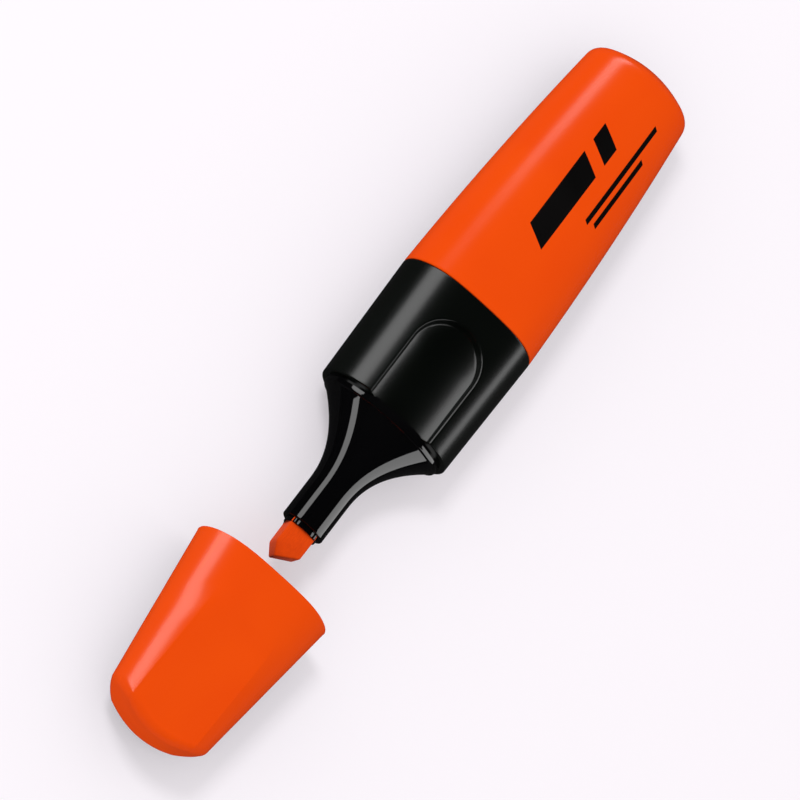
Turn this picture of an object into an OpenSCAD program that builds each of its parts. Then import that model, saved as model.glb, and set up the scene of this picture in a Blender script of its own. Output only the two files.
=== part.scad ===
// Flat oval highlighter: barrel, grip sleeve, flared nozzle, chisel nib, ink core and push-on cap.
// The pen lies along X with its axis at half its thickness above the floor (z = 0).
// x = 0 is the joint between barrel and grip, +X runs to the rear, and the nib points to -X.
// The cap is drawn pulled off, straight ahead of the nib; it slides along +X to close.

/* [Body] */
// Width across the widest section, where barrel and grip meet
body_w = 27; // [26:0.5:29]
// Thickness between the two flat lands the pen lies on
body_t = 16; // [15.5:0.5:17]
// Length of the barrel behind the grip
barrel_l = 53; // [50:1:60]
// Width of the barrel at its rear shoulder
rear_w = 20; // [19:0.5:22]
// Wall of the barrel at its mouth
barrel_wall = 1.3; // [1.1:0.1:1.5]

/* [Grip] */
// Length of the grip sleeve
grip_l = 24; // [23:0.5:26]
// Width of the sleeve at its front edge
grip_front_w = 26; // [25.5:0.25:26.5]
// Width of the thumb recess at its arch
recess_w = 14; // [12:0.5:14]
// Length of the thumb recess from the front edge
recess_l = 19.2; // [18:0.1:20]
// Depth of the thumb recess along its middle
recess_depth = 3.1; // [2:0.1:3.2]

/* [Nozzle] */
// Width of the oval nose tube
nose_w = 8; // [7.8:0.1:8.2]
// Thickness of the oval nose tube
nose_t = 6; // [5.8:0.1:6.2]
// Length of the nozzle in front of the grip
nozzle_l = 23; // [22:0.5:24]
// Length of the straight part of the nose tube
nose_straight_l = 7.5; // [6:0.5:8]
// Width of the snap flange that the cap closes over
flange_w = 24; // [23.5:0.1:24]
// Thickness of the snap flange
flange_t = 13.2; // [12.8:0.1:13.2]

/* [Nib] */
// Width of the writing end
nib_w = 5.1; // [4.8:0.1:5.2]
// Thickness of the felt
nib_t = 4.2; // [3.8:0.1:4.3]
// How far the nib stands out of the nozzle
nib_out = 7.2; // [6.5:0.1:7.4]

/* [Ink core] */
// Width of the fibre reservoir
core_w = 14; // [12:0.5:14]
// Thickness of the fibre reservoir
core_t = 7; // [6.5:0.5:7]
// Thickness of the film round the reservoir
wrap_t = 0.3; // [0.2:0.05:0.3]

/* [Cap] */
// Length of the cap
cap_l = 33; // [32.9:0.1:34]
// Width of the cap at its closed end
cap_end_w = 19; // [18:0.5:21]
// Thickness of the cap at its closed end
cap_end_t = 9; // [9:0.2:11]
// Wall of the cap
cap_wall = 1.15; // [1:0.05:1.2]
// Clear distance between nib and cap while the cap is off
cap_gap = 4; // [2:0.5:10]

/* [Hidden] */

orange = "#f05000";
orange_deep = "#d95800";
black = "#101312";
felt = "#ff5a00";
fibre = "#f7b27a";
film = "#e9e6df";

fit = 0.05;                  // clearance between two parts that are fitted together
slack = 0.1;                 // clearance between parts that slide past each other
over = 1;                    // how far a cutter runs past the face it opens
mid_z = body_t / 2;          // height of the pen axis
crown = 0.6;                 // how much each face of the oval is planed off to a flat land
round_fn = 96;
ring_points = 40;

oval = body_w / (body_t + 2 * crown);
front_r = body_t / 2 + crown;
bore_t = body_t - 2 * barrel_wall;
side_extra = 0.2;
bore_w = body_w - 2 * (barrel_wall + side_extra);
bore_oval = bore_w / bore_t;
rear_dome = 3;
rear_wall = 2;
edge_break = 0.8;
plug_l = 9;

nose_tip_x = -grip_l - nozzle_l;
nib_tip_x = nose_tip_x - nib_out;
nose_ring_w = 6.4;
nose_ring_t = 5;
nose_ring_l = 0.9;
flange_l = 1.8;
neck_w = 15;
neck_t = 7.4;
core_front_x = -6;
core_rear_x = 42;
seat_w = core_w + 2 * (wrap_t + fit);
seat_t = core_t + 2 * (wrap_t + fit);
sleeve_step_x = core_front_x - 1.5;
arch_x = recess_l - grip_l - recess_w / 2;
sleeve_side = 1.2;
sleeve_face = 1;
sleeve_w = core_w + 2 * (wrap_t + sleeve_side);
sleeve_t = core_t + 2 * (wrap_t + sleeve_face);

mouth_x = nib_tip_x - cap_gap;
cap_end_x = mouth_x - cap_l;
cap_bulge = 3.3;
cap_lip_l = 3;
cap_end_wall = 1.4;
seal_mouth = 15;
seal_wall = 0.65;

// Half thickness of the unplaned barrel at distance x behind the joint: an even, gentle arc.
function barrel_r(x) = front_r * (1 - (1 - rear_w / body_w) * (0.4 * x + 0.6 * x * x / barrel_l) / barrel_l);

// Body of revolution about the pen axis, widened sideways; points are [radius, x].
module oval_body(points, ratio) {
    scale([1, ratio, 1])
        rotate([0, 90, 0])
            rotate_extrude($fn = round_fn)
                polygon(points);
}

// Keeps what lies between the two flat lands.
module planed(x_min, x_max) {
    intersection() {
        children();
        translate([x_min, -body_w, -body_t / 2])
            cube([x_max - x_min, 2 * body_w, body_t]);
    }
}

// Flat bar with fully rounded sides, running along X.
module stadium_bar(x_min, x_max, width, thickness) {
    side = (width - thickness) / 2;
    translate([x_min, -side, -thickness / 2])
        cube([x_max - x_min, 2 * side, thickness]);
    for (y = [-side, side])
        translate([x_min, y, 0])
            rotate([0, 90, 0])
                cylinder(h = x_max - x_min, d = thickness, $fn = round_fn);
}

// Skin through oval sections; each station is [x, half width, half thickness].
module oval_loft(stations) {
    last = len(stations) - 1;
    function corner(s, i) = s * ring_points + i % ring_points;
    points = [for (s = stations, i = [0 : ring_points - 1])
        [s[0], s[1] * cos(360 * i / ring_points), s[2] * sin(360 * i / ring_points)]];
    sides = [for (s = [0 : last - 1], i = [0 : ring_points - 1])
        [corner(s, i), corner(s + 1, i), corner(s + 1, i + 1), corner(s, i + 1)]];
    first_end = [for (i = [0 : ring_points - 1]) i];
    last_end = [for (i = [ring_points - 1 : -1 : 0]) last * ring_points + i];
    polyhedron(points, concat(sides, [first_end, last_end]));
}

module barrel_outside() {
    shoulder = barrel_l - rear_dome;
    side = [for (x = [0 : 2.5 : shoulder - edge_break]) [barrel_r(x), x]];
    r_end = barrel_r(shoulder);
    dome = [for (f = [0.95 : -0.19 : 0]) [r_end * f, barrel_l - rear_dome * f * f]];
    planed(0, barrel_l)
        oval_body(concat([[0, 0]], side, dome), oval);
}

module barrel_bore() {
    function bore_r(x) = bore_t / 2 - front_r + barrel_r(x);
    rear = barrel_l - rear_dome - rear_wall;
    side = [for (x = [2 : 3 : rear]) [bore_r(x), x]];
    oval_body(concat([[0, -over], [bore_r(0), -over]], side, [[0, rear]]), bore_oval);
}

// Four thin ribs that hold the reservoir in the middle of the barrel.
module barrel_ribs() {
    rib_t = 1.1;
    rib_x = plug_l + 1;
    rib_l = core_rear_x - rib_x;
    for (side = [0, 180])
        rotate([side, 0, 0]) {
            translate([rib_x, -rib_t / 2, seat_t / 2])
                cube([rib_l, rib_t, body_t / 2]);
            translate([rib_x, seat_w / 2, -rib_t / 2])
                cube([rib_l, body_w / 2, rib_t]);
        }
}

module barrel() {
    color(orange)
        translate([0, 0, mid_z])
            difference() {
                barrel_outside();
                difference() {
                    barrel_bore();
                    barrel_ribs();
                }
            }
}

// Arched outline of the thumb recess, open at the front edge of the sleeve.
module recess_outline() {
    half_w = recess_w / 2;
    polygon(concat(
        [[-grip_l - over, half_w], [-grip_l - over, -half_w]],
        [for (a = [-90 : 10 : 90]) [arch_x + half_w * cos(a), half_w * sin(a)]]
    ));
}

// Thumb scoop cut from the upper face: a round groove that ends in a bowl under the arch.
module recess_cut() {
    scoop_r = 12;
    intersection() {
        linear_extrude(height = body_t)
            recess_outline();
        translate([arch_x, 0, body_t / 2 - recess_depth + scoop_r]) {
            sphere(r = scoop_r, $fn = round_fn);
            rotate([0, -90, 0])
                cylinder(h = recess_l, r = scoop_r, $fn = round_fn);
        }
    }
}

module grip_sleeve() {
    front_oval_r = front_r * grip_front_w / body_w;
    front_edge = 0.4;
    color(black)
        translate([0, 0, mid_z])
            difference() {
                planed(-grip_l, 0)
                    oval_body([[0, -grip_l], [front_oval_r - front_edge, -grip_l],
                               [front_oval_r, -grip_l + front_edge], [front_r, 0], [0, 0]], oval);
                stadium_bar(-grip_l - over, sleeve_step_x, neck_w + 2 * fit, neck_t + 2 * fit);
                stadium_bar(sleeve_step_x - fit, over, sleeve_w + 2 * fit, sleeve_t + 2 * fit);
                recess_cut();
                mirror([0, 0, 1])
                    recess_cut();
            }
}

// Snap flange, concave flare and oval nose tube in one smooth skin.
module nozzle_skin() {
    flare_front = nose_tip_x + nose_straight_l;
    flare_rear = -grip_l - flange_l;
    flange_edge = 0.4;
    steps = 12;
    sweep = 2.2;
    function swell(s) = pow(1 - s, sweep);
    function between(nose, flange, s) = nose + (flange - nose) * swell(s);
    flare = [for (i = [steps : -1 : 0])
        let (s = i / steps)
        [flare_rear + (flare_front - flare_rear) * s,
         between(nose_w / 2, flange_w / 2 - flange_edge, s),
         between(nose_t / 2, flange_t / 2 - flange_edge, s)]];
    oval_loft(concat(
        [[nose_tip_x, nose_w / 2, nose_t / 2]],
        flare,
        [[flare_rear + flange_edge, flange_w / 2, flange_t / 2], [-grip_l, flange_w / 2, flange_t / 2]]
    ));
}

// Oval plug that is pushed into the mouth of the barrel.
module nozzle_plug() {
    lead_l = 1;
    lead_in = 0.5;
    function plug_r(x) = bore_t / 2 - front_r + barrel_r(x) - fit;
    oval_body([[0, 0], [plug_r(0), 0], [plug_r(plug_l - lead_l) - fit, plug_l - lead_l],
               [plug_r(plug_l) - lead_in, plug_l], [0, plug_l]], bore_oval);
}

module nozzle() {
    slot_w = nib_w + 2 * fit;
    slot_t = nib_t + 2 * fit;
    color(black)
        translate([0, 0, mid_z])
            difference() {
                union() {
                    nozzle_skin();
                    oval_body([[0, nose_tip_x - nose_ring_l], [nose_ring_t / 2, nose_tip_x - nose_ring_l],
                               [nose_ring_t / 2, nose_tip_x + over], [0, nose_tip_x + over]],
                              nose_ring_w / nose_ring_t);
                    stadium_bar(-grip_l - flange_l, sleeve_step_x, neck_w, neck_t);
                    stadium_bar(sleeve_step_x, 1, sleeve_w, sleeve_t);
                    nozzle_plug();
                }
                translate([nose_tip_x - over - nose_ring_l, -slot_w / 2, -slot_t / 2])
                    cube([core_front_x - nose_tip_x + 2 * over, slot_w, slot_t]);
                stadium_bar(core_front_x, plug_l + over, seat_w, seat_t);
            }
}

// Felt bar that thins towards a slanted writing edge, with a second slant at its other corner.
module nib() {
    edge_back = 2.3;
    point_y = 1.2;
    tip_t = 2.6;
    taper_l = 4;
    color(felt)
        translate([0, 0, mid_z])
            intersection() {
                translate([0, 0, -nib_t / 2])
                    linear_extrude(height = nib_t)
                        polygon([[core_front_x, -nib_w / 2], [nib_tip_x + edge_back, -nib_w / 2],
                                 [nib_tip_x, point_y], [nib_tip_x + edge_back, nib_w / 2],
                                 [core_front_x, nib_w / 2]]);
                rotate([90, 0, 0])
                    translate([0, 0, -nib_w])
                        linear_extrude(height = 2 * nib_w)
                            polygon([[core_front_x, -nib_t / 2], [core_front_x, nib_t / 2],
                                     [nib_tip_x + taper_l, nib_t / 2], [nib_tip_x, tip_t / 2],
                                     [nib_tip_x, -tip_t / 2], [nib_tip_x + taper_l, -nib_t / 2]]);
            }
}

module ink_reservoir() {
    color(fibre)
        translate([0, 0, mid_z])
            stadium_bar(core_front_x, core_rear_x, core_w, core_t);
}

module reservoir_wrap() {
    inset = 0.5;
    color(film)
        translate([0, 0, mid_z])
            difference() {
                stadium_bar(core_front_x + inset, core_rear_x - inset, core_w + 2 * wrap_t, core_t + 2 * wrap_t);
                stadium_bar(core_front_x - over, core_rear_x + over, core_w, core_t);
            }
}

// Prism that gives the cap its bulged closed end as seen from above.
module cap_end_arc(end_x, inset) {
    half_w = cap_end_w / 2 - inset;
    steps = 8;
    linear_extrude(height = 2 * body_t, center = true)
        polygon(concat(
            [[mouth_x + over, -body_w], [mouth_x + over, body_w]],
            [for (i = [steps + 1 : -1 : -steps - 1])
                let (f = i / steps)
                [end_x + cap_bulge * f * f, half_w * f]]
        ));
}

// Prism through the cap seen from the side: the two flat panels that close in like a wedge.
module cap_wedge(inset) {
    mouth_half = body_t / 2 - inset;
    end_half = cap_end_t / 2 - inset;
    rotate([90, 0, 0])
        linear_extrude(height = 2 * body_w, center = true)
            polygon([[mouth_x + over, mouth_half], [mouth_x - cap_lip_l, mouth_half],
                     [cap_end_x - over, end_half], [cap_end_x - over, -end_half],
                     [mouth_x - cap_lip_l, -mouth_half], [mouth_x + over, -mouth_half]]);
}

module cap_shell() {
    end_taper = 0.6;
    end_r = front_r * cap_end_w / body_w;
    cavity_r = body_t / 2 - cap_wall - slack / 2;
    cavity_half_w = body_w / 2 - cap_wall - slack * 1.5;
    cavity_end_r = end_r - cap_wall - end_taper;
    cavity_end_x = cap_end_x + cap_end_wall;
    color(orange)
        translate([0, 0, mid_z])
            difference() {
                intersection() {
                    oval_body([[0, cap_end_x], [end_r, cap_end_x], [front_r, mouth_x], [0, mouth_x]], oval);
                    cap_end_arc(cap_end_x, 0);
                    cap_wedge(0);
                }
                intersection() {
                    oval_body([[0, cavity_end_x], [cavity_end_r, cavity_end_x], [cavity_r, mouth_x - cap_lip_l],
                               [cavity_r, mouth_x + over], [0, mouth_x + over]], cavity_half_w / cavity_r);
                    cap_end_arc(cavity_end_x, cap_wall);
                    cap_wedge(cap_wall);
                }
            }
}

// Thin cup that closes round the nose tube and the nib, on a short stem from the cap's closed end.
module cap_inner_seal() {
    mouth_end_x = mouth_x - seal_mouth;
    step_x = cap_end_x + 9.3;
    floor_x = cap_end_x + 2.8;
    floor_t = 0.5;
    tip_w = nib_w + 2.1;
    tip_t = nib_t + 1.6;
    stem_w = 3;
    stem_t = 2;
    stem_bulge = cap_bulge * pow(stem_w / (cap_end_w - 2 * cap_wall), 2);
    stem_x = cap_end_x + cap_end_wall + stem_bulge + fit;
    color(orange_deep)
        translate([0, 0, mid_z])
            difference() {
                union() {
                    stadium_bar(step_x - seal_wall, mouth_end_x,
                                nose_w + 2 * (slack + seal_wall), nose_t + 2 * (slack + seal_wall));
                    stadium_bar(floor_x - floor_t, step_x, tip_w + 2 * seal_wall, tip_t + 2 * seal_wall);
                    translate([stem_x, -stem_w / 2, -stem_t / 2])
                        cube([floor_x - stem_x, stem_w, stem_t]);
                }
                stadium_bar(step_x, mouth_end_x + over, nose_w + 2 * slack, nose_t + 2 * slack);
                stadium_bar(floor_x, step_x + over, tip_w, tip_t);
            }
}

barrel();
grip_sleeve();
nozzle();
nib();
ink_reservoir();
reservoir_wrap();
cap_shell();
cap_inner_seal();
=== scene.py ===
"""Looks of a capped flat highlighter: moulded shells, felt nib, printed marks, studio light and camera.

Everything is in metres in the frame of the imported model: the pen axis runs along X, the nib points to -X,
the floor is z = 0. The cap is pulled off and stands straight ahead of the nib.
"""

import math

import bpy
import numpy as np
from mathutils import Matrix, Vector


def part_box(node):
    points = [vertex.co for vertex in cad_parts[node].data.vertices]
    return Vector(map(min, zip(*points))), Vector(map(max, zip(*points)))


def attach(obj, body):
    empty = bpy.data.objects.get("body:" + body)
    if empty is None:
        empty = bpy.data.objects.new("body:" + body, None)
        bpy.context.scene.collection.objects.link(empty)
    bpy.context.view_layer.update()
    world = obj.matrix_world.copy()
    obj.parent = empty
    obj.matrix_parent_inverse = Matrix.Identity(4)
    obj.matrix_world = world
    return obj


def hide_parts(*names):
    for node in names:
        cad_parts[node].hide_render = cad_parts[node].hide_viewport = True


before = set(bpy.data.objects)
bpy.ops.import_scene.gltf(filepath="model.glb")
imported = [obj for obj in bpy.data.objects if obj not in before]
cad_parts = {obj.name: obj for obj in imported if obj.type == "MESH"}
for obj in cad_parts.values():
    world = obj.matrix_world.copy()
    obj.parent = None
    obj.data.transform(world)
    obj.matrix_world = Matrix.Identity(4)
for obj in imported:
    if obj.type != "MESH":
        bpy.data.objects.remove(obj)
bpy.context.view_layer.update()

MM = 0.001

# Sizes of the CAD pieces that the visible shells stand for.
barrel_lo, barrel_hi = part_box("barrel")
grip_lo, grip_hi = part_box("grip_sleeve")
nib_lo, nib_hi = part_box("nib")
cap_lo, cap_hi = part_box("cap_shell")

AXIS_Z = (barrel_lo.z + barrel_hi.z) / 2
HALF_W = (barrel_hi.y - barrel_lo.y) / 2
HALF_T = (barrel_hi.z - barrel_lo.z) / 2
BARREL_L = barrel_hi.x - barrel_lo.x
GRIP_L = grip_hi.x - grip_lo.x

# How far each oval face would rise above its flat land if it were not planed.
CROWN = 0.6 * MM
FULL_T = HALF_T + CROWN

# How far each shell stays back from the plane where it meets the next one.
JOINT_GAP = 0.02 * MM

# Angles at which the mould parting lines run, and half the spread of extra points round each.
SEAMS = (0.0, math.pi)
SEAM_SPREAD = 0.02
SEAM_HALF_ANGLE = 0.012
BAND_SPREAD = 0.1


# ---------------------------------------------------------------- mesh helpers

def mesh_object(name, points, faces, body, sharp_deg):
    """A smooth-shaded mesh that rides on a CAD body."""
    mesh = bpy.data.meshes.new(name)
    mesh.from_pydata([tuple(p) for p in points], [], faces)
    mesh.validate()
    mesh.shade_smooth()
    mesh.set_sharp_from_angle(angle=math.radians(sharp_deg))
    obj = bpy.data.objects.new(name, mesh)
    bpy.context.scene.collection.objects.link(obj)
    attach(obj, body)
    return obj


def skin_faces(ring_count, ring_len):
    """Quads between rings that run round the X axis, closed by a flat face on the first and last ring."""
    faces = []
    for r in range(ring_count - 1):
        for i in range(ring_len):
            j = (i + 1) % ring_len
            low, high = r * ring_len, (r + 1) * ring_len
            faces.append((low + i, low + j, high + j, high + i))
    faces.append(tuple(range(ring_len - 1, -1, -1)))
    faces.append(tuple((ring_count - 1) * ring_len + i for i in range(ring_len)))
    return faces


def skin(name, rings, body, sharp_deg):
    """One closed skin through a list of equally long rings of points."""
    points = np.concatenate(rings)
    faces = skin_faces(len(rings), len(rings[0]))
    return mesh_object(name, points, faces, body, sharp_deg)


def soft_limit(value, limit, peak, sharpness=9.0):
    """Planes value softly at limit, so that a value of peak comes out at exactly limit."""
    def planed(v):
        return (np.abs(v) ** -sharpness + limit ** -sharpness) ** (-1.0 / sharpness)
    size = planed(np.maximum(np.abs(value), 1e-9))
    return np.sign(value) * size * (limit / planed(np.array(peak)))


def angles(count, seams=(), bands=()):
    """Evenly spread angles, closer together at each seam (for its thin groove) and inside each band."""
    even = np.linspace(0, 2 * math.pi, count, endpoint=False)
    fine = [s + d for s in seams for d in np.linspace(-SEAM_SPREAD, SEAM_SPREAD, 9)]
    fine += [b + d for b in bands for d in np.linspace(-BAND_SPREAD, BAND_SPREAD, 33)]
    merged = np.sort(np.concatenate([even, np.array(fine)]) % (2 * math.pi)) if fine else even
    keep = np.concatenate([[True], np.diff(merged) > 1e-4])
    return merged[keep]


def ring(x, half_w, half_r, turn, flat=None, inset=0.0):
    """Oval ring at x: half_r is the unplaned half thickness, flat the height of the flat land."""
    y = (half_w - inset) * np.cos(turn)
    z = (half_r - inset) * np.sin(turn)
    if flat is not None:
        z = soft_limit(z, flat - inset, FULL_T - inset)
    return np.stack([np.full_like(y, x), y, z + AXIS_Z], axis=1)


def bend(start, corner, end, count=8):
    """Points of the quadratic curve that rounds the corner between start and end."""
    t = np.linspace(0, 1, count)[:, None]
    a, b, c = (np.array(p, float) for p in (start, corner, end))
    return [tuple(p) for p in (1 - t) ** 2 * a + 2 * t * (1 - t) * b + t ** 2 * c]


def smooth_step(value):
    """Eases from 0 to 1 while value runs from 0 to 1."""
    value = np.clip(value, 0.0, 1.0)
    return value * value * (3 - 2 * value)


# ---------------------------------------------------------------- barrel

REAR_W = 20 * MM
REAR_DOME = 3 * MM
BARREL_WALL = 1.3 * MM


def barrel_share(x):
    """Width of the barrel at x as a share of its width at the grip."""
    t = x / BARREL_L
    return 1 - (1 - REAR_W / (2 * HALF_W)) * (0.4 * t + 0.6 * t * t)


def seam_groove(turn, depth=0.05 * MM):
    """Depth of the mould parting line that runs along both sides."""
    return depth * (1 - smooth_step(np.abs(np.sin(turn)) / SEAM_HALF_ANGLE))


def build_barrel():
    """Oval shell open at the grip, with a rounded mouth rim and a shallow dome at the rear."""
    turn = angles(160, SEAMS)
    groove = seam_groove(turn)
    rim = 0.22 * MM
    shoulder = BARREL_L - REAR_DOME
    end_share = barrel_share(shoulder)
    soft = 1.5 * MM

    rings = []
    for depth in (6 * MM, 3 * MM, 1 * MM, rim):
        rings.append(ring(depth, HALF_W, FULL_T, turn, HALF_T, inset=BARREL_WALL))
    rings.append(ring(JOINT_GAP, HALF_W, FULL_T, turn, HALF_T, inset=BARREL_WALL - rim))
    for a in np.linspace(0, math.pi / 2, 6):
        rings.append(ring(JOINT_GAP + rim * (1 - math.cos(a)), HALF_W, FULL_T, turn, HALF_T,
                          inset=rim * (1 - math.sin(a))))
    for x in np.linspace(0.6 * MM, shoulder - soft, 60):
        share = barrel_share(x)
        rings.append(ring(x, HALF_W * share - groove, FULL_T * share, turn, HALF_T))
    side = (shoulder - soft, barrel_share(shoulder - soft) / end_share)
    dome_start = 0.86
    dome = (BARREL_L - REAR_DOME * dome_start ** 2, dome_start)
    profile = bend(side, (shoulder, 1.0), dome, 10)[1:]
    profile += [(BARREL_L - REAR_DOME * f * f, f) for f in np.linspace(dome_start, 0.02, 22)[1:]]
    for x, f in profile:
        rings.append(ring(x, HALF_W * end_share * f, FULL_T * end_share * f, turn, HALF_T))
    obj = skin("barrel_shell", rings, "pen", sharp_deg=50)
    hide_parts("barrel")
    return obj


def barrel_height(x, y):
    """Height of the barrel's upper face over the floor."""
    share = barrel_share(x)
    turn_sin = np.sqrt(np.maximum(1 - (y / (HALF_W * share)) ** 2, 0.0))
    return soft_limit(FULL_T * share * turn_sin, HALF_T, FULL_T) + AXIS_Z


def printed_bar(name, x0, x1, y_mid, width, slant):
    """Thin film of printing ink from x0 to x1 with slanted ends, laid on the barrel's upper face."""
    film = 0.03 * MM
    sunk = 0.05 * MM
    nx, ny = 60, 14
    u, v = np.meshgrid(np.linspace(0, 1, nx), np.linspace(-0.5, 0.5, ny), indexing="ij")
    x = x0 + (x1 - x0) * u + slant * v
    y = y_mid + width * v
    top = np.stack([x, y, barrel_height(x, y) + film], axis=-1).reshape(-1, 3)
    low = np.stack([x, y, barrel_height(x, y) - sunk], axis=-1).reshape(-1, 3)

    def at(i, j):
        return i * ny + j

    count = nx * ny
    faces = []
    for i in range(nx - 1):
        for j in range(ny - 1):
            quad = (at(i, j), at(i + 1, j), at(i + 1, j + 1), at(i, j + 1))
            faces.append(quad)
            faces.append(tuple(count + k for k in reversed(quad)))
    border = [at(i, 0) for i in range(nx)] + [at(nx - 1, j) for j in range(1, ny)]
    border += [at(i, ny - 1) for i in range(nx - 2, -1, -1)] + [at(0, j) for j in range(ny - 2, 0, -1)]
    for a, b in zip(border, border[1:] + border[:1]):
        faces.append((a, count + a, count + b, b))
    return mesh_object(name, np.concatenate([top, low]), faces, "pen", sharp_deg=50)


def build_printed_mark():
    """Plain chisel stroke and dash over two thin rules: a generic mark with no lettering."""
    stroke_y, stroke_w, stroke_slant = 0.6 * MM, 4.2 * MM, 2.2 * MM
    rule_w, rule_slant = 0.8 * MM, 0.4 * MM
    return [
        printed_bar("printed_stroke", 15 * MM, 31 * MM, stroke_y, stroke_w, stroke_slant),
        printed_bar("printed_dash", 33.6 * MM, 37.2 * MM, stroke_y, stroke_w, stroke_slant),
        printed_bar("printed_rule", 23 * MM, 44 * MM, -4.9 * MM, rule_w, rule_slant),
        printed_bar("printed_rule_short", 23.6 * MM, 38 * MM, -6.5 * MM, rule_w, rule_slant),
    ]


# ---------------------------------------------------------------- grip sleeve

GRIP_NARROWING = 1.0 * MM
GRIP_BORE_INSET = 1.0 * MM
RECESS_L = 19.2 * MM
RECESS_HALF = 7.0 * MM
RECESS_WALL = 0.95 * MM
SCOOP_R = 12 * MM
SCOOP_DEPTH = 3.1 * MM


def recess_depth(x, y, height, inset):
    """How far the thumb scoop lowers a point at a height over the pen axis, lying inset under the skin."""
    arch_x = -GRIP_L + RECESS_L - RECESS_HALF
    past_arch = np.maximum(x - arch_x, 0.0)
    inside = RECESS_HALF - np.hypot(past_arch, y)
    off_axis = np.minimum(np.hypot(past_arch, y), RECESS_HALF)
    floor_height = HALF_T - inset - SCOOP_DEPTH + SCOOP_R - np.sqrt(SCOOP_R ** 2 - off_axis ** 2)
    return smooth_step(inside / RECESS_WALL) * np.maximum(height - floor_height, 0.0)


def build_grip():
    """Sleeve that narrows a little to the front, with a thumb scoop in each broad face."""
    leg = math.acos((RECESS_HALF - RECESS_WALL / 2) / HALF_W)
    turn = angles(300, SEAMS, (leg, math.pi - leg, math.pi + leg, -leg))
    groove = seam_groove(turn, depth=0.07 * MM)
    front_share = (grip_hi.y - grip_lo.y - GRIP_NARROWING) / (grip_hi.y - grip_lo.y)
    front = -GRIP_L + JOINT_GAP
    edge = 0.3 * MM
    rear_edge = 0.2 * MM

    def outer(x, inset=0.0):
        """Ring of the sleeve's outside at x, moved inward by inset."""
        share = front_share + (1 - front_share) * (x + GRIP_L) / GRIP_L
        points = ring(x, HALF_W * share - groove, FULL_T * share, turn, HALF_T, inset)
        height = np.abs(points[:, 2] - AXIS_Z)
        depth = recess_depth(points[:, 0], points[:, 1], height, inset)
        points[:, 2] -= np.sign(points[:, 2] - AXIS_Z) * depth
        return points

    rings = [outer(front, GRIP_BORE_INSET), outer(front, edge)]
    for a in np.linspace(0, math.pi / 2, 6)[1:]:
        rings.append(outer(front + edge * (1 - math.cos(a)), edge * (1 - math.sin(a))))
    for x in np.linspace(-GRIP_L + 0.5 * MM, -0.35 * MM, 190):
        rings.append(outer(x))
    for a in np.linspace(0, math.pi / 2, 6):
        rings.append(outer(-edge + (edge - JOINT_GAP) * math.sin(a), rear_edge * (1 - math.cos(a))))
    rings.append(outer(-JOINT_GAP, GRIP_BORE_INSET))
    obj = skin("grip_shell", rings, "pen", sharp_deg=55)
    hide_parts("grip_sleeve")
    return obj


# ---------------------------------------------------------------- nozzle

NOZZLE_L = 23 * MM
NOSE_HALF_W = 4.0 * MM
NOSE_HALF_T = 3.0 * MM
NOSE_L = 7.5 * MM
NOSE_RING_HALF_W = 3.2 * MM
NOSE_RING_HALF_T = 2.5 * MM
NOSE_RING_L = 0.9 * MM
FLANGE_HALF_W = 12.0 * MM
FLANGE_HALF_T = 6.6 * MM
FLANGE_L = 1.3 * MM
FLANGE_LIP = 0.55 * MM
FLARE_POWER = 2.2
SLOT_CLEARANCE = 0.05 * MM
SLOT_DEPTH = 3 * MM
CORE_HALF_W = 5 * MM
CORE_HALF_T = 4 * MM


def rounded_slot(x, half_w, half_t, turn):
    """Ring along a rounded rectangle, sampled at the same angles as the oval rings."""
    c, s = np.cos(turn), np.sin(turn)
    power = 6.0  # the higher, the tighter the corners
    size = (np.abs(c / half_w) ** power + np.abs(s / half_t) ** power) ** (-1 / power)
    return np.stack([np.full_like(c, x), size * c, size * s + AXIS_Z], axis=1)


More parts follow.
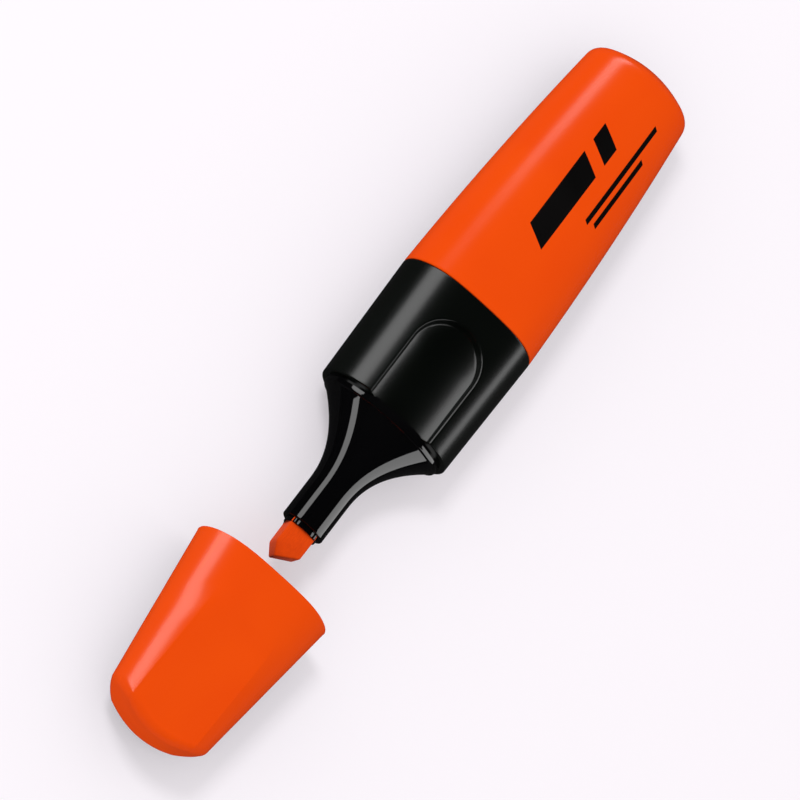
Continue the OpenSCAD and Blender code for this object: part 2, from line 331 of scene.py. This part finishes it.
def build_nozzle():
    """Oval nose tube with a small step at its tip, flaring out to the snap flange at the grip."""
    turn = angles(160)
    tip = -GRIP_L - NOZZLE_L
    ring_tip = tip - NOSE_RING_L
    flange_front = -GRIP_L - FLANGE_L
    flare_front = tip + NOSE_L
    slot_w = (nib_hi.y - nib_lo.y) / 2 + SLOT_CLEARANCE
    slot_t = (nib_hi.z - nib_lo.z) / 2 + SLOT_CLEARANCE
    slot_break = 0.1 * MM
    inside_grip = -GRIP_L + 0.3 * MM
    rings = []

    def plain(x, half_w, half_t):
        rings.append(ring(x, half_w, half_t, turn))

    def rounded_edge(x, half_w, half_t, radius, steps):
        """Rings that round the front edge of an oval which starts at x."""
        for a in steps:
            cut = radius * (1 - math.sin(a))
            plain(x + radius * (1 - math.cos(a)), half_w - cut, half_t - cut)

    rings.append(rounded_slot(tip + SLOT_DEPTH, slot_w, slot_t, turn))
    rings.append(rounded_slot(ring_tip + 0.15 * MM, slot_w, slot_t, turn))
    rings.append(rounded_slot(ring_tip, slot_w + slot_break, slot_t + slot_break, turn))
    quarter = math.pi / 2
    rounded_edge(ring_tip, NOSE_RING_HALF_W, NOSE_RING_HALF_T, 0.2 * MM, np.linspace(0, quarter, 5))
    plain(tip - JOINT_GAP, NOSE_RING_HALF_W, NOSE_RING_HALF_T)
    rounded_edge(tip, NOSE_HALF_W, NOSE_HALF_T, 0.3 * MM, np.linspace(0, quarter, 6))
    for x in np.linspace(tip + 0.6 * MM, flare_front, 16):
        plain(x, NOSE_HALF_W, NOSE_HALF_T)
    for s in np.linspace(1, 0, 60)[1:]:
        swell = (1 - s) ** FLARE_POWER
        plain(flange_front + (flare_front - flange_front) * s,
              NOSE_HALF_W + (FLANGE_HALF_W - FLANGE_LIP - NOSE_HALF_W) * swell,
              NOSE_HALF_T + (FLANGE_HALF_T - FLANGE_LIP - NOSE_HALF_T) * swell)
    rounded_edge(flange_front, FLANGE_HALF_W, FLANGE_HALF_T, FLANGE_LIP, np.linspace(0, quarter, 8)[1:])
    plain(inside_grip, FLANGE_HALF_W, FLANGE_HALF_T)
    plain(inside_grip, CORE_HALF_W, CORE_HALF_T)
    obj = skin("nozzle_shell", rings, "pen", sharp_deg=35)
    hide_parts("nozzle")
    return obj


# ---------------------------------------------------------------- nib

NIB_SHOWN_L = 14 * MM
NIB_EDGE_BACK = 2.3 * MM
NIB_POINT_Y = 1.2 * MM
NIB_THINNING = 0.8 * MM
NIB_TAPER_L = 4 * MM


def build_nib():
    """Felt bar that thins towards a slanted writing edge, with softly bevelled edges."""
    tip = nib_lo.x
    half_w = (nib_hi.y - nib_lo.y) / 2
    half_t = (nib_hi.z - nib_lo.z) / 2
    plan = [(tip + NIB_SHOWN_L, -half_w), (tip + NIB_EDGE_BACK, -half_w), (tip, NIB_POINT_Y),
            (tip + NIB_EDGE_BACK, half_w), (tip + NIB_SHOWN_L, half_w)]

    def thickness(x):
        """Half thickness of the felt at x."""
        return half_t - NIB_THINNING * max(0.0, 1 - (x - tip) / NIB_TAPER_L)

    points = []
    for side in (-1, 1):
        points += [(x, y, AXIS_Z + side * thickness(x)) for x, y in plan]
    count = len(plan)
    faces = [tuple(range(count)), tuple(range(2 * count - 1, count - 1, -1))]
    for i in range(count):
        j = (i + 1) % count
        faces.append((i, i + count, j + count, j))
    obj = mesh_object("felt_nib", points, faces, "pen", sharp_deg=180)
    bevel = obj.modifiers.new("soft_edges", "BEVEL")
    bevel.width = 0.32 * MM
    bevel.segments = 4
    bevel.limit_method = "ANGLE"
    bevel.angle_limit = math.radians(20)
    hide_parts("nib")
    return obj


# ---------------------------------------------------------------- cap

CAP_L = cap_hi.x - cap_lo.x
CAP_END_HALF_W = 9.5 * MM
CAP_END_HALF_T = 4.5 * MM
CAP_BULGE = 3.3 * MM
PANEL_HALF = 6.8 * MM
LIP_L = 4.5 * MM
CAP_WALL = 1.15 * MM
CAP_END_ROUND = 1.4 * MM
CAP_CORNER = 1.1 * MM
CAP_NOSE = 2.0 * MM
CREASE_FADE = 8.5 * MM    # length over which the lip's oval turns into the creased panels
LIP_SAG = 2.6 * MM        # how far the lip's edge bends towards the closed end at the creases


def build_cap():
    """Oval mouth that closes to a flat, bulged end; two wedge panels with crisp side creases."""
    turn = angles(360, SEAMS)
    groove = seam_groove(turn)
    side = np.sign(np.cos(turn))
    face = np.sign(np.sin(turn))
    end_share = CAP_END_HALF_W / HALF_W
    corner_depth = CAP_L - CAP_BULGE
    end_start = corner_depth - CAP_END_ROUND

    def section(depth, bow, inset=0.0):
        """Depth, y and z of a ring; bow is how much of the end arc its depth follows."""
        y = HALF_W * np.cos(turn)
        for _ in range(3):
            bulge = 1 - np.minimum(np.abs(y) / (CAP_END_HALF_W - inset), 1.0) ** 2
            deep = depth + bow * CAP_BULGE * bulge
            share = 1 - (1 - end_share) * deep / CAP_L
            y = (HALF_W * share - inset) * np.cos(turn)
        rise = np.abs(np.sin(turn))
        oval = np.abs(soft_limit((FULL_T * share - inset) * rise, HALF_T - inset, FULL_T - inset))
        closing = np.maximum(0.0, deep - LIP_L) / (CAP_L - LIP_L)
        panel = HALF_T + (CAP_END_HALF_T - HALF_T) * closing - inset
        side_r = panel / np.sqrt(1 - (PANEL_HALF / HALF_W / share) ** 2)
        creased = np.minimum(side_r * rise, panel)
        arc = LIP_L + LIP_SAG * np.minimum(np.abs(y) / PANEL_HALF, 1.6) ** 2
        fade = smooth_step((deep - arc) / CREASE_FADE)
        seam_left = 1 - smooth_step((depth - 0.8 * end_start) / (0.15 * end_start))
        seam = groove * (inset == 0) * seam_left
        return deep, y - seam * side, (oval * (1 - fade) + creased * fade) * face

    def placed(depth, y, z):
        """Ring of points at a depth behind the cap's mouth."""
        return np.stack([cap_hi.x - depth, y, z + AXIS_Z], axis=1)

    def bow_at(depth):
        """How far the rings have taken on the curve of the closed end."""
        return smooth_step((depth / end_start - 0.3) / 0.7)

    inner_end = corner_depth - CAP_WALL
    deep, y, z = section(inner_end, 1.0, CAP_WALL)
    rings = []
    for shrink in np.linspace(0.02, 1, 16)[:-1]:
        bulge = 1 - np.minimum(np.abs(y * shrink) / (CAP_END_HALF_W - CAP_WALL), 1.0) ** 2
        rings.append(placed(inner_end + CAP_BULGE * bulge, y * shrink, z * shrink))
    rings.append(placed(deep, y, z))
    for depth in np.linspace(inner_end - 0.5 * MM, 0.4 * MM, 30):
        rings.append(placed(*section(depth, bow_at(depth), CAP_WALL)))
    rim = 0.25 * MM
    for a in np.linspace(0, math.pi, 9):
        deep, y, z = section(0.0, 0.0, CAP_WALL / 2 * (1 + math.cos(a)))
        rings.append(placed(deep + rim * (1 - math.sin(a)), y, z))
    for depth in np.linspace(0.5 * MM, end_start, 110):
        rings.append(placed(*section(depth, bow_at(depth))))
    _, y, z = section(end_start, 1.0)
    along = np.stack([np.roll(y, -1) - np.roll(y, 1), np.roll(z, -1) - np.roll(z, 1)])
    along /= np.hypot(*along)

    def end_ring(depth, y, z):
        """Adds a ring that follows the curve of the closed end."""
        bulge = 1 - np.minimum(np.abs(y) / CAP_END_HALF_W, 1.0) ** 2
        rings.append(placed(depth + CAP_BULGE * bulge, y, z))

    for a in np.linspace(0, math.pi / 2, 10)[1:]:
        pull = 1 - math.cos(a)
        end_ring(end_start + CAP_END_ROUND * math.sin(a),
                 y - CAP_CORNER * pull * along[1], z + CAP_NOSE * pull * along[0])
    y, z = rings[-1][:, 1], rings[-1][:, 2] - AXIS_Z
    for shrink in np.linspace(1, 0.02, 24)[1:]:
        end_ring(corner_depth, y * shrink, z * shrink)
    obj = skin("cap_body", rings, "cap", sharp_deg=50)
    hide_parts("cap_shell")
    return obj


# ---------------------------------------------------------------- materials

class Nodes:
    """Adds shader nodes to a material or world and links them."""

    def __init__(self, owner):
        owner.use_nodes = True
        self.tree = owner.node_tree
        self.tree.nodes.clear()

    def add(self, kind, inputs=None, **settings):
        """New node with its settings made and its inputs set or linked."""
        node = self.tree.nodes.new(kind)
        for key, value in settings.items():
            setattr(node, key, value)
        for key, value in (inputs or {}).items():
            self.set(node, key, value)
        return node

    def set(self, node, key, value):
        """Links an input when given a socket, or else sets its value."""
        if isinstance(value, bpy.types.NodeSocket):
            self.tree.links.new(value, node.inputs[key])
        else:
            node.inputs[key].default_value = value


def srgb(r, g, b):
    """Linear colour of a screen colour given as 0 to 255."""
    def linear(c):
        c = c / 255
        return c / 12.92 if c <= 0.04045 else ((c + 0.055) / 1.055) ** 2.4
    return (linear(r), linear(g), linear(b), 1.0)


def noise(nodes, vector, scale, detail=4.0, roughness=0.55, distortion=0.0):
    inputs = {"Vector": vector, "Scale": scale, "Detail": detail, "Roughness": roughness,
              "Distortion": distortion}
    return nodes.add("ShaderNodeTexNoise", inputs)


def ramp(nodes, value, low, high, out_low, out_high):
    """Maps value from the range low to high onto out_low to out_high."""
    inputs = {"Value": value, "From Min": low, "From Max": high, "To Min": out_low, "To Max": out_high}
    return nodes.add("ShaderNodeMapRange", inputs).outputs["Result"]


def mix_colour(nodes, factor, a, b):
    """Blend of two colours; a colour mix has its factor and colours on inputs 0, 6 and 7."""
    node = nodes.add("ShaderNodeMix", {0: factor, 6: a, 7: b}, data_type="RGBA")
    return node.outputs[2]


def finish_material(nodes, shader):
    output = nodes.add("ShaderNodeOutputMaterial")
    nodes.set(output, "Surface", shader)


def moulded_plastic(name, colour, shade, roughness, grain, streak=0.04, specular=0.5, glow=0.0):
    """Injection-moulded plastic: slow colour flow, fine mould grain, faint handling marks."""
    material = bpy.data.materials.new(name)
    nodes = Nodes(material)
    place = nodes.add("ShaderNodeTexCoord").outputs["Object"]
    flow = noise(nodes, place, 60.0, 2.0, 0.5, 0.4).outputs["Fac"]
    grit = noise(nodes, place, 5200.0, 3.0, 0.6).outputs["Fac"]
    stretched = nodes.add("ShaderNodeMapping", {"Vector": place, "Scale": (0.25, 2.0, 2.0)})
    hair = noise(nodes, stretched.outputs["Vector"], 420.0, 4.0, 0.6, 0.3).outputs["Fac"]
    edge = nodes.add("ShaderNodeNewGeometry").outputs["Pointiness"]
    worn = ramp(nodes, edge, 0.53, 0.62, 0.0, 0.35)
    tone = mix_colour(nodes, ramp(nodes, flow, 0.3, 0.7, 0.0, 1.0), colour, shade)
    light = tuple(min(1.0, c * 1.25) for c in colour[:3]) + (1.0,)
    tone = mix_colour(nodes, worn, tone, light)
    # Surfaces around the object see it darker and grey, so that its colour doesn't stain the pale floor.
    path = nodes.add("ShaderNodeLightPath")
    tone = mix_colour(nodes, path.outputs["Is Diffuse Ray"], tone, (0.10, 0.08, 0.10, 1.0))
    streaks = ramp(nodes, hair, 0.35, 0.75, -streak, streak)
    uneven = nodes.add("ShaderNodeMath", {0: streaks, 1: roughness, 2: roughness},
                       operation="MULTIPLY_ADD").outputs[0]
    bump = nodes.add("ShaderNodeBump", {"Strength": grain, "Distance": 0.00002, "Height": grit})
    inputs = {"Base Color": tone, "Roughness": uneven, "Normal": bump.outputs["Normal"],
              "Specular IOR Level": specular}
    if glow:
        inputs["Subsurface Weight"] = glow
        inputs["Subsurface Radius"] = (0.004, 0.0012, 0.0004)
        inputs["Subsurface Scale"] = 0.35
    shader = nodes.add("ShaderNodeBsdfPrincipled", inputs)
    finish_material(nodes, shader.outputs["BSDF"])
    return material


def felt(name, colour, shade):
    """Pressed fibre felt soaked with ink: long fibres along the bar, a nap at the edges."""
    material = bpy.data.materials.new(name)
    nodes = Nodes(material)
    place = nodes.add("ShaderNodeTexCoord").outputs["Object"]
    stretched = nodes.add("ShaderNodeMapping", {"Vector": place, "Scale": (0.3, 1.6, 1.6)})
    fibres = noise(nodes, stretched.outputs["Vector"], 4200.0, 6.0, 0.7, 0.6).outputs["Fac"]
    patches = noise(nodes, place, 500.0, 3.0, 0.6).outputs["Fac"]
    tone = mix_colour(nodes, ramp(nodes, fibres, 0.35, 0.65, 0.0, 0.6), colour, shade)
    tone = mix_colour(nodes, ramp(nodes, patches, 0.45, 0.7, 0.0, 0.35), tone, shade)
    bump = nodes.add("ShaderNodeBump", {"Strength": 0.55, "Distance": 0.00008, "Height": fibres})
    inputs = {"Base Color": tone, "Roughness": 0.85, "Normal": bump.outputs["Normal"],
              "Specular IOR Level": 0.15, "Sheen Weight": 0.04, "Sheen Roughness": 0.5}
    shader = nodes.add("ShaderNodeBsdfPrincipled", inputs)
    finish_material(nodes, shader.outputs["BSDF"])
    return material


def paint(obj, material):
    obj.data.materials.clear()
    obj.data.materials.append(material)


# ---------------------------------------------------------------- studio

# The photo's viewing angle. Its roll stands the pen on a slant in the picture.
VIEW_AZIMUTH = math.radians(-123.0)
VIEW_ELEVATION = math.radians(65.3)
VIEW_ROLL = math.radians(73.0)
CAMERA_AWAY = 2.0
PIXELS_PER_METRE = 6150.0
IMAGE_W = 800
SENSOR_W = 36.0


def view_basis():
    """Right, up and backward directions of the camera."""
    a, e = VIEW_AZIMUTH, VIEW_ELEVATION
    back = Vector((math.sin(a) * math.cos(e), -math.cos(a) * math.cos(e), math.sin(e)))
    level = Vector((math.cos(a), math.sin(a), 0.0))
    rise = back.cross(level)
    right = level * math.cos(VIEW_ROLL) + rise * math.sin(VIEW_ROLL)
    up = rise * math.cos(VIEW_ROLL) - level * math.sin(VIEW_ROLL)
    return right, up, back


def add_camera(target):
    """Camera at the photo's viewing angle with the target in the middle of the picture."""
    right, up, back = view_basis()
    data = bpy.data.cameras.new("camera")
    data.sensor_width = SENSOR_W
    data.lens = SENSOR_W * CAMERA_AWAY * PIXELS_PER_METRE / IMAGE_W
    data.clip_end = 20.0
    camera = bpy.data.objects.new("camera", data)
    bpy.context.scene.collection.objects.link(camera)
    turn = Matrix((right, up, back)).transposed().to_4x4()
    camera.matrix_world = Matrix.Translation(target + back * CAMERA_AWAY) @ turn
    bpy.context.scene.camera = camera


def add_softbox(name, direction, away, width, length, radiance, target, along, shift):
    """Rectangular area light that faces the target; its long side runs, and is shifted, along a direction."""
    data = bpy.data.lights.new(name, "AREA")
    data.shape = "RECTANGLE"
    data.size = width
    data.size_y = length
    data.energy = radiance * math.pi * width * length
    light = bpy.data.objects.new(name, data)
    bpy.context.scene.collection.objects.link(light)
    back = Vector(direction).normalized()
    long_side = Vector(along)
    long_side = (long_side - back * long_side.dot(back)).normalized()
    short_side = long_side.cross(back)
    turn = Matrix((short_side, long_side, back)).transposed().to_4x4()
    light.matrix_world = Matrix.Translation(target + back * away + long_side * shift) @ turn
    return light


def light_only(light, objects):
    """Keeps a light off everything but the given objects."""
    lit = bpy.data.collections.new(light.name + "_lit")
    for obj in objects:
        lit.objects.link(obj)
    light.light_linking.receiver_collection = lit


def add_world():
    """Even white surroundings for soft fill, left out of mirror reflections so that black stays black."""
    world = bpy.data.worlds.new("studio")
    bpy.context.scene.world = world
    world.cycles_visibility.glossy = False
    nodes = Nodes(world)
    white = nodes.add("ShaderNodeBackground", {"Color": (1.0, 0.99, 0.99, 1.0), "Strength": 0.78})
    output = nodes.add("ShaderNodeOutputWorld")
    nodes.set(output, "Surface", white.outputs["Background"])


def add_floor():
    """Plain pale floor that glows a little, so that the shadow on it stays light."""
    mesh = bpy.data.meshes.new("floor")
    reach = 3.0
    corners = [(-reach, -reach, 0), (reach, -reach, 0), (reach, reach, 0), (-reach, reach, 0)]
    mesh.from_pydata(corners, [], [(0, 1, 2, 3)])
    floor = bpy.data.objects.new("floor", mesh)
    bpy.context.scene.collection.objects.link(floor)
    floor.location.z = -0.05 * MM
    material = bpy.data.materials.new("pale_floor")
    material.cycles.emission_sampling = "NONE"
    nodes = Nodes(material)
    place = nodes.add("ShaderNodeTexCoord").outputs["Object"]
    tone = noise(nodes, place, 3.0, 2.0).outputs["Fac"]
    colour = mix_colour(nodes, tone, (0.69, 0.655, 0.695, 1.0), (0.71, 0.675, 0.715, 1.0))
    # Mirror reflections see the floor dark, so that shiny sides keep their own colour down to the floor.
    mirrored = nodes.add("ShaderNodeLightPath").outputs["Is Glossy Ray"]
    colour = mix_colour(nodes, mirrored, colour, (0.04, 0.04, 0.04, 1.0))
    glow = ramp(nodes, mirrored, 0.0, 1.0, 0.30, 0.0)
    shader = nodes.add("ShaderNodeBsdfPrincipled", {"Base Color": colour, "Roughness": 0.9,
                                                    "Specular IOR Level": 0.1,
                                                    "Emission Color": (1.0, 0.97, 1.0, 1.0),
                                                    "Emission Strength": glow})
    finish_material(nodes, shader.outputs["BSDF"])
    paint(floor, material)


# ---------------------------------------------------------------- build

ORANGE = srgb(241, 77, 0)
ORANGE_DEEP = srgb(238, 73, 0)

barrel_plastic = moulded_plastic("orange_barrel_plastic", ORANGE, ORANGE_DEEP, 0.24, 0.12,
                                 specular=0.1)
cap_plastic = moulded_plastic("orange_cap_plastic", ORANGE, ORANGE_DEEP, 0.24, 0.12,
                              specular=0.1)
seal_plastic = moulded_plastic("seal_plastic", srgb(200, 70, 5), srgb(180, 60, 5), 0.5, 0.1, glow=0.3)
grip_plastic = moulded_plastic("satin_black_plastic", srgb(6, 10, 7), srgb(4, 8, 5), 0.25, 0.05,
                               streak=0.01, specular=0.6)
nozzle_plastic = moulded_plastic("gloss_black_plastic", srgb(8, 8, 9), srgb(5, 5, 6), 0.035, 0.01)
printing_ink = moulded_plastic("printing_ink", srgb(16, 14, 14), srgb(10, 9, 9), 0.4, 0.2)
nib_felt = felt("orange_felt", srgb(240, 76, 0), srgb(215, 60, 0))
core_fibre = felt("ink_soaked_fibre", srgb(247, 178, 122), srgb(236, 140, 70))
core_film = moulded_plastic("reservoir_film", srgb(233, 230, 223), srgb(220, 216, 205), 0.2, 0.05)

barrel_shell = build_barrel()
paint(barrel_shell, barrel_plastic)
for bar in build_printed_mark():
    paint(bar, printing_ink)
grip_shell = build_grip()
nozzle_shell = build_nozzle()
paint(grip_shell, grip_plastic)
paint(nozzle_shell, nozzle_plastic)
paint(build_nib(), nib_felt)
cap_body = build_cap()
paint(cap_body, cap_plastic)

# Inner pieces keep their CAD shape and get real materials.
for node, material in (("ink_reservoir", core_fibre), ("reservoir_wrap", core_film),
                       ("cap_inner_seal", seal_plastic)):
    paint(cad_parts[node], material)

middle = Vector(((cap_lo.x + barrel_hi.x) / 2, 0.0, AXIS_Z))
add_camera(middle)
add_world()
add_floor()
# Each soft light reaches only one part, as flags would do on a product table. The numbers are the direction
# it comes from, its width, length and radiance, and how far it is moved along the pen.
SOFTBOX_AWAY = 0.7
ALONG_PEN = (1, 0, 0)
for name, direction, width, length, radiance, shift, part in (
        ("softbox_grip", (0.35, 0.71, 0.61), 0.38, 1.9, 2.9, -0.4, grip_shell),
        ("softbox_nozzle", (0.35, 0.57, 0.74), 0.24, 1.9, 3.6, -0.4, nozzle_shell),
        ("softbox_barrel", (0.34, 0.70, 0.63), 0.20, 0.8, 20.0, 0.54, barrel_shell),
        ("softbox_cap", (0.15, 0.90, 0.38), 0.34, 1.2, 15.0, -0.1, cap_body),
        ("rim_grip", (0.35, -0.90, 0.22), 0.18, 1.9, 2.4, -0.4, grip_shell),
        ("rim_nozzle", (0.35, -0.88, 0.32), 0.48, 1.9, 3.4, -0.4, nozzle_shell)):
    softbox = add_softbox(name, direction, SOFTBOX_AWAY, width, length, radiance, middle, ALONG_PEN, shift)
    softbox.visible_diffuse = False
    light_only(softbox, [part])
key_light = add_softbox("key", (0.15, 0.50, 0.85), 0.9, 0.20, 0.20, 17.0, middle, ALONG_PEN, 0.0)
key_light.visible_glossy = False
bpy.context.scene.view_settings.view_transform = "Standard"
